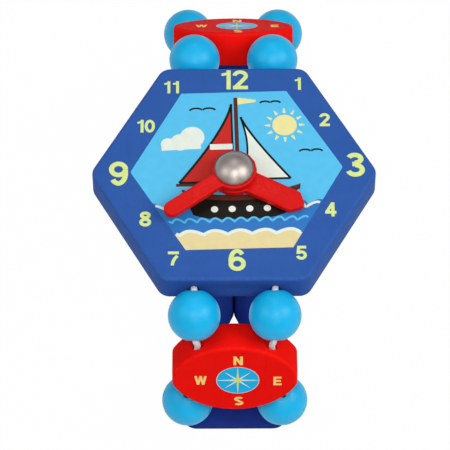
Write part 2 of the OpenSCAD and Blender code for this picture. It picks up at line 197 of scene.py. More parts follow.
class WatchSizes(PropertyGroup):
    """Sizes of the watch's surfaces"""

    edge: size_property("Edge", "Rounding of the dial's and links' edges, twice the hands'", 0.6)
    dial_corner: size_property("Dial corner", "Radius of the dial's six corners", 2.2)
    link_length: size_property("Link length", "Length of a barrel link at its middle", 15.5)
    link_thickness: size_property("Link thickness", "Thickness of a barrel link", 5.25)
    link_bulge: size_property("Link bulge", "Bulge of a link's bowed edges", 4.7)
    link_corner: size_property("Link corner", "Radius of a link's corners", 2.0)
    link_bore_up: size_property("Link bore offset", "Bores of a link outwards of its middle", 0.7)
    block_thickness: size_property("Block thickness", "Thickness of a block", 7.1)
    block_corner: size_property("Block corner", "Radius of a block's corners", 2.2)
    block_edge: size_property("Block edge", "Rounding of a block's edges", 1.7)
    bead: size_property("Bead", "Diameter of a bead", 8.0)
    bore: size_property("Bore", "Diameter of the cord bores of blocks and tubes", 2.3)
    link_bore: size_property("Link bore", "Diameter of the painted bores of dial and links", 1.5)
    bead_bore: size_property("Bead bore", "Diameter of a bead's painted bore", 1.3)
    bead_flat: size_property("Bead flat", "Diameter of the flat round a bead's bore mouth", 2.6)
    flare: size_property("Flare", "Softening of a bore's mouth", 0.12)
    tube_end: size_property("Tube end", "Diameter of a tube's flat ends", 3.8)
    tube_taper: size_property("Tube taper", "Length of a tube's tapered ends", 4.8)
    pocket: size_property("Pocket", "Diameter of the knot pocket", 3.4)
    pocket_depth: size_property("Pocket depth", "Depth of the knot pocket", 12.0)
    cord: size_property("Cord", "Diameter of the elastic cord", 1.0)
    knot: size_property("Knot", "Diameter of the cord's knot", 2.8)
    hub: size_property("Hub", "Diameter of the hub of a hand", 7.0)
    hour_length: size_property("Hour hand length", "Pivot to tip of the hour hand", 12.0)
    hour_width: size_property("Hour hand width", "Width of the hour hand", 3.7)
    hour_bevel: size_property("Hour hand bevel", "Bevel of the hour hand's tip", 1.1)
    minute_length: size_property("Minute hand length", "Pivot to tip of the minute hand", 13.0)
    minute_width: size_property("Minute hand width", "Width of the minute hand", 2.6)
    nail_head: size_property("Nail head", "Diameter of the domed nail head", 6.1)
    nail_dome: size_property("Nail dome", "Height of the dome", 1.8)
    nail_shank: size_property("Nail shank", "Diameter of the nail's shank", 1.6)
    nail_depth: size_property("Nail depth", "Depth of the nail in the dial", 4.6)
    picture: size_property("Picture", "Middle to corner of the printed hexagon", 16.4)
    compass: size_property("Compass", "Radius of the compass disc", 3.3)
    letter: size_property("Letter", "Height of the compass letters", 2.1)


class WatchColours(PropertyGroup):
    """Colours of the watch's paints, inks, nail and cord"""

    dial: colour_property("Dial", "Paint of the dial", "#335CA8")
    hand: colour_property("Hands", "Paint of the hands", "#D8120E")
    link: colour_property("Links", "Paint of the barrel links", "#F8140E")
    block: colour_property("Blocks", "Paint of the blocks and tubes", "#22378A")
    bead: colour_property("Beads", "Paint of the beads", "#02B5EC")
    nail: colour_property("Nail", "Nickel plate of the nail", "#C6BBB4")
    cord: colour_property("Cord", "Cover of the elastic cord", "#F2F1F4")
    number: colour_property("Numbers", "Ink of the dial's numbers", "#DBEB90")
    letter: colour_property("Letters", "Ink of the compass letters", "#FFDC7C")
    star: colour_property("Star", "Ink of the compass star", "#DCEB70")
    disc: colour_property("Disc", "Ink of the compass disc", "#06B6EE")
    sky: colour_property("Sky", "Ink of the sky", "#59C3F0")
    sea: colour_property("Sea", "Ink of the sea", "#3278C3")
    sand: colour_property("Sand", "Ink of the beach", "#E8D9A0")
    cream: colour_property("Cream", "Ink of cloud, foam and jib", "#E6EFE4")
    yellow: colour_property("Yellow", "Ink of the sun and pennant", "#EFE7A0")
    black: colour_property("Black", "Ink of the hull and outlines", "#1A1612")
    brown: colour_property("Brown", "Ink of the mast and gunwale", "#5A2A22")
    red: colour_property("Red", "Ink of the mainsail", "#C92A22")


def mm(name):
    """A size of the panel in millimetres."""
    return getattr(bpy.context.scene.watch_sizes, name) / MM


def paint(name):
    """A colour of the panel as linear RGBA."""
    return (*getattr(bpy.context.scene.watch_colours, name), 1.0)


# Nodes and materials


def add(tree, kind, settings=None, inputs=None):
    """Adds one shader node; settings are its own values, inputs are values or links by socket."""
    made = tree.nodes.new("ShaderNode" + kind)
    for key, value in (settings or {}).items():
        setattr(made, key, value)
    for key, value in (inputs or {}).items():
        if isinstance(value, bpy.types.NodeSocket):
            tree.links.new(value, made.inputs[key])
        else:
            made.inputs[key].default_value = value
    return made


def blank(name):
    """A material and its empty node tree, or None for the tree where it is there already."""
    if name in bpy.data.materials:
        return bpy.data.materials[name], None
    material = bpy.data.materials.new(name)
    material.use_nodes = True
    material.node_tree.nodes.clear()
    return material, material.node_tree


def shade(colour, factor, lift=0.0):
    """A colour scaled and lifted, as linear RGBA."""
    return (*(min(1.0, c * factor + lift) for c in colour[:3]), 1.0)


def lacquered_beech(name, colour, rough, gloss, wear):
    """Beech under satin lacquer: faint grain lines, orange peel, and thinner paint at the edges.

    Grain lines lie about 0.45 mm apart and run 7 mm; they are drawn a little coarser than beech
    pores so that they show. Orange peel has ripples of about 0.8 mm. The gloss is low, as on paint
    that is flatted between coats, and dial, links and blocks have next to none.
    """
    material, tree = blank(name)
    if tree is None:
        return material
    lay = add(tree, "Attribute", {"attribute_name": "lay"}).outputs["Vector"]
    rim = add(tree, "Attribute", {"attribute_name": "rim"}).outputs["Fac"]
    pitch = (1 / GRAIN, 1 / GRAIN_RUN, 1 / GRAIN)
    along = add(tree, "VectorMath", {"operation": "MULTIPLY"}, {0: lay, 1: pitch})
    grain = add(
        tree,
        "TexNoise",
        None,
        {"Vector": along.outputs[0], "Scale": 1.0, "Detail": 3.0, "Roughness": 0.6},
    ).outputs["Fac"]
    mottle = add(tree, "TexNoise", None, {"Vector": lay, "Scale": 1 / MOTTLE, "Detail": 2.0})
    peel = add(tree, "TexNoise", None, {"Vector": lay, "Scale": 1 / PEEL, "Detail": 1.0})
    fleck = add(tree, "TexNoise", None, {"Vector": lay, "Scale": 1 / FLECK, "Detail": 2.0})
    tone = add(
        tree,
        "Mix",
        {"data_type": "RGBA"},
        {0: mottle.outputs["Fac"], 6: shade(colour, 0.92), 7: shade(colour, 1.08)},
    )
    streak = add(
        tree,
        "MapRange",
        None,
        {"Value": grain, "From Min": 0.42, "From Max": 0.3, "To Min": 0.0, "To Max": 0.16},
    )
    streaked = add(
        tree,
        "Mix",
        {"data_type": "RGBA"},
        {0: streak.outputs[0], 6: tone.outputs[2], 7: shade(colour, 0.62)},
    )
    thin = add(
        tree,
        "MapRange",
        None,
        {
            "Value": fleck.outputs["Fac"],
            "From Min": 0.4,
            "From Max": 0.7,
            "To Min": 0.0,
            "To Max": wear,
        },
    )
    worn = add(tree, "Math", {"operation": "MULTIPLY"}, {0: rim, 1: thin.outputs[0]})
    colour_out = add(
        tree,
        "Mix",
        {"data_type": "RGBA"},
        {0: worn.outputs[0], 6: streaked.outputs[2], 7: shade(colour, 1.25, 0.06)},
    )
    sheen = add(
        tree,
        "MapRange",
        None,
        {
            "Value": peel.outputs["Fac"],
            "From Min": 0.3,
            "From Max": 0.7,
            "To Min": rough - 0.05,
            "To Max": rough + 0.06,
        },
    )
    ripples = add(
        tree,
        "Bump",
        None,
        {"Height": peel.outputs["Fac"], "Strength": 0.35, "Distance": PAINT_RELIEF},
    )
    pores = add(
        tree,
        "Bump",
        None,
        {
            "Height": grain,
            "Strength": 0.25,
            "Distance": PAINT_RELIEF,
            "Normal": ripples.outputs[0],
        },
    )
    surface = add(
        tree,
        "BsdfPrincipled",
        None,
        {
            "Base Color": colour_out.outputs[2],
            "Roughness": sheen.outputs[0],
            "Normal": pores.outputs[0],
            "Specular IOR Level": gloss,
        },
    )
    add(tree, "OutputMaterial", None, {"Surface": surface.outputs[0]})
    return material


def pad_ink(name, colour):
    """Pad-printed ink on lacquer: a thin opaque film with a slightly uneven tone.

    The unevenness has patches of about 1.2 mm and specks of 0.25 mm, coarser than a real film.
    """
    material, tree = blank(name)
    if tree is None:
        return material
    lay = add(tree, "Attribute", {"attribute_name": "lay"}).outputs["Vector"]
    patches = add(tree, "TexNoise", None, {"Vector": lay, "Scale": 1 / PATCH, "Detail": 2.0})
    specks = add(
        tree, "TexNoise", None, {"Vector": lay, "Scale": 1 / SPECK, "Detail": 1.0}
    ).outputs["Fac"]
    tone = add(
        tree,
        "Mix",
        {"data_type": "RGBA"},
        {0: patches.outputs["Fac"], 6: shade(colour, 0.93), 7: shade(colour, 1.06)},
    )
    sheen = add(
        tree,
        "MapRange",
        None,
        {"Value": specks, "From Min": 0.3, "From Max": 0.7, "To Min": 0.34, "To Max": 0.46},
    )
    film = add(
        tree, "Bump", None, {"Height": specks, "Strength": 0.15, "Distance": PLATE_RELIEF}
    )
    surface = add(
        tree,
        "BsdfPrincipled",
        None,
        {
            "Base Color": tone.outputs[2],
            "Roughness": sheen.outputs[0],
            "Normal": film.outputs[0],
            "Specular IOR Level": INK_GLOSS,
        },
    )
    add(tree, "OutputMaterial", None, {"Surface": surface.outputs[0]})
    return material


def nickel_plate(name, colour):
    """Nickel-plated steel, pressed to a dome: warm grey metal with soft smears and fine scratches.

    The smears are about 1.5 mm across; the scratches lie 0.15 mm apart.
    """
    material, tree = blank(name)
    if tree is None:
        return material
    lay = add(tree, "Attribute", {"attribute_name": "lay"}).outputs["Vector"]
    smears = add(
        tree, "TexNoise", None, {"Vector": lay, "Scale": 1 / SMEAR, "Detail": 2.0}
    ).outputs["Fac"]
    pitch = (1 / SCRATCH, 1 / SCRATCH_RUN, 1 / SCRATCH_RUN)
    drawn = add(tree, "VectorMath", {"operation": "MULTIPLY"}, {0: lay, 1: pitch})
    scratches = add(
        tree, "TexNoise", None, {"Vector": drawn.outputs[0], "Scale": 1.0, "Detail": 2.0}
    )
    tone = add(
        tree,
        "Mix",
        {"data_type": "RGBA"},
        {0: smears, 6: shade(colour, 0.88), 7: shade(colour, 1.05)},
    )
    sheen = add(
        tree,
        "MapRange",
        None,
        {"Value": smears, "From Min": 0.3, "From Max": 0.7, "To Min": 0.42, "To Max": 0.5},
    )
    lines = add(
        tree,
        "Bump",
        None,
        {"Height": scratches.outputs["Fac"], "Strength": 0.12, "Distance": PLATE_RELIEF},
    )
    surface = add(
        tree,
        "BsdfPrincipled",
        None,
        {
            "Base Color": tone.outputs[2],
            "Metallic": 1.0,
            "Roughness": sheen.outputs[0],
            "Normal": lines.outputs[0],
        },
    )
    add(tree, "OutputMaterial", None, {"Surface": surface.outputs[0]})
    return material


def covered_elastic(name, colour):
    """Elastic cord with a braided white cover: threads 0.45 mm apart, crossing both ways.

    The braid is drawn in the cord's own map, millimetres along it and turns round it, and coarse
    enough to show. The valleys between its threads are painted darker, as painted shade.
    """
    material, tree = blank(name)
    if tree is None:
        return material
    way = add(tree, "UVMap", {"uv_map": "braid"}).outputs["UV"]
    split = add(tree, "SeparateXYZ", None, {0: way})
    heights = []
    for hand in (1, -1):
        winding = add(
            tree, "Math", {"operation": "MULTIPLY"}, {0: split.outputs[1], 1: THREADS_ROUND * hand}
        )
        phase = add(
            tree,
            "Math",
            {"operation": "MULTIPLY_ADD"},
            {0: split.outputs[0], 1: 1 / THREAD, 2: winding.outputs[0]},
        )
        angle = add(tree, "Math", {"operation": "MULTIPLY"}, {0: phase.outputs[0], 1: 2 * np.pi})
        wave = add(tree, "Math", {"operation": "SINE"}, {0: angle.outputs[0]})
        heights.append(wave.outputs[0])
    braid = add(tree, "Math", {"operation": "MAXIMUM"}, {0: heights[0], 1: heights[1]})
    level = add(
        tree, "MapRange", None, {"Value": braid.outputs[0], "From Min": -0.6, "From Max": 1.0}
    ).outputs[0]
    # Painted shade: the low valleys between the braid's threads are darkened to 0.72 of the cord's
    # colour
    tone = add(tree, "Mix", {"data_type": "RGBA"}, {0: level, 6: shade(colour, 0.72), 7: colour})
    weave = add(
        tree, "Bump", None, {"Height": level, "Strength": 0.6, "Distance": BRAID_RELIEF}
    )
    surface = add(
        tree,
        "BsdfPrincipled",
        None,
        {
            "Base Color": tone.outputs[2],
            "Roughness": 0.8,
            "Normal": weave.outputs[0],
            "Sheen Weight": 0.3,
            "Sheen Roughness": 0.5,
        },
    )
    add(tree, "OutputMaterial", None, {"Surface": surface.outputs[0]})
    return material


def painted(name):
    """Finish of painted wood, by the name of its colour."""
    material, rough, gloss, wear = FINISHES[name]
    return lacquered_beech(material, paint(name), rough, gloss, wear)


def ink(name):
    """Printing ink, by the name of its colour."""
    return pad_ink("pad_ink_" + name, paint(name))


# Grids, outlines and meshes


def quads(rows, columns, closed=False):
    """Faces of a grid whose columns run round; closed joins its last row to its first."""
    i = np.arange(rows if closed else rows - 1)[:, None]
    j = np.arange(columns)[None]
    below, beside = (i + 1) % rows, (j + 1) % columns
    return np.stack(
        [i * columns + j, below * columns + j, below * columns + beside, i * columns + beside], -1
    ).reshape(-1, 4)


def capped(grid):
    """Grid of rows from top to bottom, closed by a fan to the middle of its first and last row."""
    rows, columns = grid.shape[:2]
    points = np.concatenate([grid.reshape(-1, 3), grid[0].mean(0)[None], grid[-1].mean(0)[None]])
    j = np.arange(columns)
    beside = (j + 1) % columns
    last = (rows - 1) * columns
    top = np.stack([np.full(columns, rows * columns), j, beside], 1)
    bottom = np.stack([np.full(columns, rows * columns + 1), last + beside, last + j], 1)
    return points, quads(rows, columns).tolist() + top.tolist() + bottom.tolist()


def ring(grid):
    """Grid whose rows and columns both run round."""
    return grid.reshape(-1, 3), quads(*grid.shape[:2], closed=True).tolist()


def turned(profile, columns=56):
    """Surface of revolution about Z: each row's radius and height, carried round a circle."""
    profile = np.asarray(profile, float)
    a = np.arange(columns) * 2 * np.pi / columns
    r, z = profile[:, 0][:, None], profile[:, 1][:, None]
    return np.stack([r * np.cos(a), r * np.sin(a), z + 0 * a], -1)


def arc(cx, cy, rx, ry, start, stop, count=24):
    """Points of an ellipse from one angle to another, in degrees."""
    a = np.radians(np.linspace(start, stop, count))
    return np.stack([cx + rx * np.cos(a), cy + ry * np.sin(a)], 1)


def arc_chain(arcs, count=10):
    """Closed outline of arcs joined by lines, and its outward normals N.

    Each arc is (cx, cy, r, start, stop): a point is the centre + r N, N = (cos a, sin a). A
    negative r gives a hollow fillet, whose angle runs backwards.
    """
    table = np.asarray(arcs, float)
    share = np.linspace(0, 1, count)
    a = np.radians(table[:, 3:4] + (table[:, 4:5] - table[:, 3:4]) * share)
    normal = np.stack([np.cos(a), np.sin(a)], -1)
    points = table[:, None, :2] + table[:, 2][:, None, None] * normal
    return points.reshape(-1, 2), normal.reshape(-1, 2)


def plate_section(t, e, steps=9):
    """Inset and height down a plate's side: flat, quarter round of radius e, wall, and the same."""
    a = np.radians(np.linspace(0, 90, steps + 1))
    inset = np.concatenate([[e + 0.08], e * (1 - np.sin(a))])
    height = np.concatenate([[t / 2], t / 2 - e * (1 - np.cos(a))])
    return np.concatenate([inset, inset[::-1]]), np.concatenate([height, -height[::-1]])


def plate(arcs, t, e, count=10):
    """Rows of a plate: its outline moved inwards along N by each inset, at each height."""
    outline, normal = arc_chain(arcs, count)
    inset, height = plate_section(t, e)
    flat = outline[None] - inset[:, None, None] * normal[None]
    return np.concatenate([flat, np.broadcast_to(height[:, None, None], flat.shape[:2] + (1,))], 2)


def raw_mesh(name, points, faces):
    """Mesh of points in millimetres."""
    mesh = bpy.data.meshes.new(name)
    mesh.from_pydata(np.asarray(points, float).tolist(), [], [tuple(f) for f in faces])
    mesh.update()
    return mesh


def carved(mesh, cutters):
    """Mesh with the cutter meshes taken out of it, exactly."""
    scene = bpy.context.scene
    body = bpy.data.objects.new(mesh.name + "_blank", mesh)
    scene.collection.objects.link(body)
    tools = []
    for cutter in cutters:
        tool = bpy.data.objects.new(cutter.name, cutter)
        scene.collection.objects.link(tool)
        cut = body.modifiers.new(cutter.name, "BOOLEAN")
        cut.operation, cut.solver, cut.object = "DIFFERENCE", "EXACT", tool
        tools.append(tool)
    depsgraph = bpy.context.evaluated_depsgraph_get()
    result = bpy.data.meshes.new_from_object(body.evaluated_get(depsgraph))
    for made in [body] + tools:
        old = made.data
        bpy.data.objects.remove(made)
        bpy.data.meshes.remove(old)
    return result


def bore_cutter(name, start, stop, bore="bore", overrun=2.0):
    """Cutter for a bore between two points: a turned rod, flared at both mouths.

    Its radius is the bore's, and grows by the flare within one flare of each mouth.
    """
    start, stop = np.asarray(start, float), np.asarray(stop, float)
    axis = stop - start
    length = np.linalg.norm(axis)
    r, f = mm(bore) / 2, mm("flare")
    a = np.radians(np.linspace(0, 90, 5))
    lip_r, lip_h = r + f - f * np.sin(a), f - f * np.cos(a)
    heights = np.concatenate(
        [[length + overrun, length], length - lip_h[1:], lip_h[1:][::-1], [0, -overrun]]
    )
    radii = np.concatenate([[r + f, r + f], lip_r[1:], lip_r[1:][::-1], [r + f, r + f]])
    points, faces = capped(turned(np.stack([radii, heights], 1), 40))
    z = axis / length
    x = np.cross([0.0, 0.3, 1.0], z)
    x /= np.linalg.norm(x)
    return raw_mesh(name, start + points @ np.stack([x, np.cross(z, x), z]), faces)


def finish_mesh(name, mesh, turn, place, materials, rim=None, drift=0.0, sharp=WOOD_SHARP):
    """Object of a mesh in a piece's own millimetres, turned and moved to its place in metres.

    The attribute lay keeps the piece's own millimetres plus drift, and rim, where it isn't given,
    how far a normal is from the flats and walls, (1 - max(|nz|, |nxy|)) / 0.29, which is 1 in the
    middle of a rounded edge. Edges steeper than sharp, in degrees, stay sharp.
    """
    count = len(mesh.vertices)
    local = np.empty(count * 3)
    mesh.vertices.foreach_get("co", local)
    local = local.reshape(-1, 3)
    if rim is None:
        normal = np.empty(count * 3, np.float32)
        mesh.vertex_normals.foreach_get("vector", normal)
        normal = normal.reshape(-1, 3)
        rim = (1 - np.maximum(abs(normal[:, 2]), np.hypot(normal[:, 0], normal[:, 1]))) / 0.29
    lay = mesh.attributes.new("lay", "FLOAT_VECTOR", "POINT")
    lay.data.foreach_set("vector", (local + drift).astype(np.float32).ravel())
    worn = mesh.attributes.new("rim", "FLOAT", "POINT")
    worn.data.foreach_set("value", np.clip(rim, 0, 1).astype(np.float32))
    world = (local @ np.asarray(turn, float).T + np.asarray(place, float)) * MM
    mesh.vertices.foreach_set("co", world.ravel())
    mesh.polygons.foreach_set("use_smooth", np.ones(len(mesh.polygons), bool))
    mesh.update()
    mesh.set_sharp_from_angle(angle=np.radians(sharp))
    for material in materials:
        mesh.materials.append(material)
    mesh.name = name
    piece = bpy.data.objects.new(name, mesh)
    bpy.context.scene.collection.objects.link(piece)
    return piece


def fit(piece, body, slot, *nodes):
    """The piece rides on a body and stands for CAD nodes, which are hidden; the slot is not used.
    """
    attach(piece, body)
    if nodes:
        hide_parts(*nodes)
    return piece


def middle(node):
    """Middle of a node's box, in millimetres."""
    lo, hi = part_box(node)
    return (np.array(lo) + np.array(hi)) / 2 / MM


def extent(node):
    """Size of a node's box, in millimetres."""
    lo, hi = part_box(node)
    return (np.array(hi) - np.array(lo)) / MM


def strap_turn(end, dip):
    """Turn of a strap piece: its Y dips below the dial's plane, its Z points outwards."""
    c, s = np.cos(np.radians(dip)), np.sin(np.radians(dip))
    side = ENDS[end]
    return np.array([[side, 0, 0], [0, side * c, side * s], [0, -s, c]])


def dial_face():
    """Middle of the dial's face, in millimetres."""
    return middle("dial_block") + (0, 0, extent("dial_block")[2] / 2)


def pivot():
    """Pivot of the hands on the dial's face, in millimetres."""
    return np.array(JOINTS["hour_hand_turn"]["pos_m"]) / MM


def bow(x):
    """Drop of a link's bowed edge at x: R - sqrt(R R - x x), R the edge's radius."""
    r = link_bow()[0]
    return r - np.sqrt(r * r - x * x)


def link_bow():
    """Radius of a link's bowed edge, and the angle of its corner, from bulge and corner radius."""
    corner = extent("link_front")[0] / 2 - mm("link_corner")
    inner = (corner**2 + mm("link_bulge") ** 2) / (2 * mm("link_bulge"))
    return inner + mm("link_corner"), np.degrees(np.arcsin(corner / inner))


def block_length(end):
    """Length of a block, from the height of its box and its dip."""
    e, t, dip = mm("block_edge"), mm("block_thickness"), np.radians(BLOCK_DIPS[end])
    rise = extent("block_" + end)[2] - 2 * e - (t - 2 * e) * abs(np.cos(dip))
    return rise / np.sin(dip) + 2 * e


# Prints


def ribbon(path, width):
    """Two edges of a stroke: the path moved half its width to each side of its direction."""
    path = np.asarray(path, float)
    along = np.gradient(path, axis=0)
    along /= np.linalg.norm(along, axis=1)[:, None]
    side = np.stack([-along[:, 1], along[:, 0]], 1) * np.reshape(width, (-1, 1)) / 2
    return path - side, path + side


def disc(cx, cy, r, ry=None, count=28):
    """Two edges of a disc: its left and its right half."""
    ry = r if ry is None else ry
    return arc(cx, cy, r, ry, 95, 265, count), arc(cx, cy, r, ry, 85, -85, count)


def film(edges, low, high):
    """Closed thin film between two edges: a four-cornered section carried along them."""
    a, b = np.asarray(edges[0], float), np.asarray(edges[1], float)
    along, across = a[1:] - a[:-1], b[:-1] - a[:-1]
    if (along[:, 0] * across[:, 1] - along[:, 1] * across[:, 0]).sum() < 0:
        a, b = b, a
    up, down = np.full((len(a), 1), high), np.full((len(a), 1), low)
    corners = ((a, up), (b, up), (b, down), (a, down))
    rows = np.stack([np.hstack(corner) for corner in corners], 1)
    last = (len(a) - 1) * 4
    faces = quads(len(a), 4).tolist() + [[0, 1, 2, 3], [last + 3, last + 2, last + 1, last]]
    return rows.reshape(-1, 3), faces


def print_mesh(name, films, scale=1.0):
    """One mesh of films: each has edges, a material index and a layer."""
    points, faces, marks, start = [], [], [], 0
    for edges, mark, layer in films:
        p, f = film(edges, -FILM_SINK, FILM_RISE + FILM_STEP * layer)
        points.append(p * (scale, scale, 1))
        faces += [[v + start for v in face] for face in f]
        marks += [mark] * len(f)
        start += len(p)
    mesh = raw_mesh(name, np.concatenate(points), faces)
    mesh.polygons.foreach_set("material_index", marks)
    return mesh


def strokes(mark, s):
    """Strokes of a bold upright number or letter, one unit high and s thick, and its width."""
    w = 0.68
    h, m = s / 2, w / 2
    r = m - h
    shapes = {
        "0": [arc(m, 0.5, r, 0.5 - h, 0, 360, 40)],
        "1": [[(w - 0.25, 0), (w - 0.25, 1)], [(0.12, 0.76), (w - 0.25, 0.84)]],
        "2": [
            np.vstack([arc(m, 0.7, r, 0.3 - h, 175, -32, 24), [(0.3, 0.3), (h + 0.02, h)]]),
            [(0.02, h), (w, h)],
        ],
        "3": [
            arc(m - 0.01, 0.745, r - 0.03, 0.255 - h, 160, -90, 22),
            arc(m, 0.29, r, 0.29 - h, 90, -165, 24),
            [(m - 0.1, 0.53), (m + 0.03, 0.53)],
        ],
        "4": [[(0.47, 0), (0.47, 1)], [(0.0, 0.3), (w, 0.3)], [(h * 0.75, 0.28), (0.45, 0.95)]],
        "5": [
            [(0.12, 1 - h), (w - 0.04, 1 - h)],
            [(0.12 + h * 0.75, 1), (0.06 + h * 0.75, 0.42)],
            arc(m, 0.33, r, 0.33 - h, 145, -165, 28),
        ],
        "6": [arc(m, 0.325, r, 0.325 - h, 0, 360, 32), arc(m, 0.5, r, 0.5 - h, 195, 38, 28)],
        "7": [[(0, 1 - h), (w, 1 - h)], arc(w + 0.42, 0.0, 0.82, 0.86, 180, 128, 14)],
        "8": [
            arc(m, 0.745, r - 0.03, 0.255 - h, 0, 360, 30),
            arc(m, 0.285, r, 0.285 - h, 0, 360, 32),
        ],
        "9": [arc(m, 0.675, r, 0.325 - h, 0, 360, 32), arc(m, 0.5, r, 0.5 - h, 15, -142, 28)],
        "N": [[(h, 0), (h, 1)], [(w - h, 0), (w - h, 1)], [(h, 1 - h * 0.4), (w - h, h * 0.4)]],
        "E": [
            [(h, 0), (h, 1)],
            [(0, 1 - h), (0.58, 1 - h)],
            [(0, 0.5), (0.54, 0.5)],
            [(0, h), (0.6, h)],
        ],
        "S": [
            np.vstack(
                [
                    arc(m, 0.74, r, 0.26 - h, 25, 262, 22),
                    arc(m, 0.27, r, 0.27 - h, 82, -155, 22),
                ]
            )
        ],
        "W": [
            [(h, 1), (0.27, 0)],
            [(0.27, 0), (0.46, 1)],
            [(0.46, 1), (0.65, 0)],
            [(0.65, 0), (0.92 - h, 1)],
        ],
    }
    widths = {"1": 0.52, "E": 0.6, "W": 0.92}
    return [np.asarray(p, float) for p in shapes[mark]], widths.get(mark, w)


def lettering(text, x, y, height, s, mark, layer=0):
    """Films of a short text about a middle, each stroke on a layer of its own."""
    films, pen, gap = [], 0.0, 0.08
    for sign in text:
        lines, width = strokes(sign, s)
        films += [[np.add(line, (pen, 0)), sign] for line in lines]
        pen += width + gap
    shift = np.array([-(pen - gap) / 2, -0.5])
    out = []
    for k, (line, sign) in enumerate(films):
        thick = s * FLAG_SHARE if sign == "1" and line[0][1] > 0.5 else s
        thick = s * W_SHARE if sign == "W" else thick
        edges = [np.array([x, y]) + height * (edge + shift) for edge in ribbon(line, thick)]
        out.append((edges, mark, layer + k))
    return out


# Operators


class WATCH_OT_dial(Operator):
    """Hexagonal dial: six corner arcs, rounded edges, two cord bores and the nail's hole"""

    bl_idname = "watch.dial"
    bl_label = "Dial"

    def execute(self, context):
        size, r = extent("dial_block"), mm("dial_corner")
        at = (size[1] - 2 * r) / np.sqrt(3)
        arcs = [
            (at * np.cos(np.radians(a)), at * np.sin(np.radians(a)), r, a - 30, a + 30)
            for a in range(0, 360, 60)
        ]
        mesh = raw_mesh("dial", *capped(plate(arcs, size[2], mm("edge"))))
        half = size[1] / 2
        cutters = [
            bore_cutter(
                "bore_" + side, (sign * DIAL_X, -half, 0), (sign * DIAL_X, half, 0), "link_bore"
            )
            for side, sign in SIDES.items()
        ]
        place = middle("dial_block")
        down = place[1] - pivot()[1]
        shank, top = mm("nail_shank") / 2, size[2] / 2
        tip = top - mm("nail_depth")
        hole = turned([(shank, top + 1), (shank, tip + 2 * shank), (NAIL_POINT, tip)], 32)
        points, faces = capped(hole)
        cutters.append(raw_mesh("nail_hole", points - (0, down, 0), faces))
        piece = finish_mesh("dial", carved(mesh, cutters), np.eye(3), place, [painted("dial")])
        fit(piece, "dial", "dial_blue", "dial_block")
        return {"FINISHED"}


class WATCH_OT_hands(Operator):
    """Hour hand with a bevelled tip and minute hand with a round tip, each with a round hub"""

    bl_idname = "watch.hands"
    bl_label = "Hands"

    def hand(self, name, tip, width, turn):
        """Hand along +Y: tip arcs, hollow fillets to the hub, hub arc, and a round hole."""
        hub, e, f = mm("hub") / 2, mm("edge") / 2, HAND_FILLET
        side = width / 2 + f
        up = np.sqrt((hub + f) ** 2 - side**2)
        lean = np.degrees(np.arctan2(up, side))
        arcs = tip + [
            (-side, up, -f, 180, 180 - lean),
            (0, 0, hub, 180 - lean, 360 + lean),
            (side, up, -f, lean, 0),
        ]
        grid = plate(arcs, extent(name)[2], e, 14)
        hole = mm("nail_shank") / 2 + HAND_PLAY
        a = np.arctan2(grid[0, :, 1], grid[0, :, 0])
        rim = np.stack([hole * np.cos(a), hole * np.sin(a)], 1)
        ends = (grid[0, 0, 2], grid[-1, 0, 2])
        caps = [np.hstack([rim, np.full((len(rim), 1), z)]) for z in ends]
        points, faces = ring(np.concatenate([caps[0][None], grid, caps[1][None]]))
        c, s = np.cos(np.radians(turn)), np.sin(np.radians(turn))
        place = np.array([*pivot()[:2], middle(name)[2]])
        piece = finish_mesh(
            name + "_painted",
            raw_mesh(name, points, faces),
            [[c, s, 0], [-s, c, 0], [0, 0, 1]],
            place,
            [painted("hand")],
        )
        fit(piece, name + "_body", "hand_red", name)

    def execute(self, context):
        r, w, bevel = mm("edge"), mm("hour_width"), mm("hour_bevel")
        tip = mm("hour_length") - r
        half = w / 2 - r
        hour = [
            (half, tip - bevel, r, 0, 45),
            (half - bevel, tip, r, 45, 90),
            (bevel - half, tip, r, 90, 135),
            (-half, tip - bevel, r, 135, 180),
        ]
        self.hand("hour_hand", hour, w, HOUR_TURN)
        m = mm("minute_width") / 2
        self.hand("minute_hand", [(0, mm("minute_length") - m, m, 0, 180)], 2 * m, MINUTE_TURN)
        return {"FINISHED"}


class WATCH_OT_nail(Operator):
    """Domed nail: a turned profile of dome, rolled rim, shank and point"""

    bl_idname = "watch.nail"
    bl_label = "Nail"

    def execute(self, context):
        head, rise, shank = mm("nail_head") / 2, mm("nail_dome"), mm("nail_shank") / 2
        roll = NAIL_ROLL
        lo, hi = (np.array(v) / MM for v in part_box("pivot_nail"))
        top, foot = hi[2], hi[2] - rise
        dome = (head**2 + rise**2) / (2 * rise)
        stop = np.degrees(np.arcsin((head - roll) / (dome - roll) * 0.995))
        a = np.radians(np.linspace(1.5, stop, 22))
        crown = np.stack([dome * np.sin(a), top - dome + dome * np.cos(a)], 1)
        edge = arc(head - roll, foot + roll, roll, roll, 35, -90, 7)
        stem = [(shank, foot), (shank, lo[2] + 2 * shank), (NAIL_POINT, lo[2])]
        points, faces = capped(turned(np.vstack([crown, edge, stem]), 64))
        place = np.array([*pivot()[:2], 0.0])
        piece = finish_mesh(
            "domed_nail",
            raw_mesh("domed_nail", points, faces),
            np.eye(3),
            place,
            [nickel_plate("nickel_plated_steel", paint("nail"))],
            rim=np.zeros(len(points)),
        )
        fit(piece, "dial", "nail_steel", "pivot_nail")
        return {"FINISHED"}


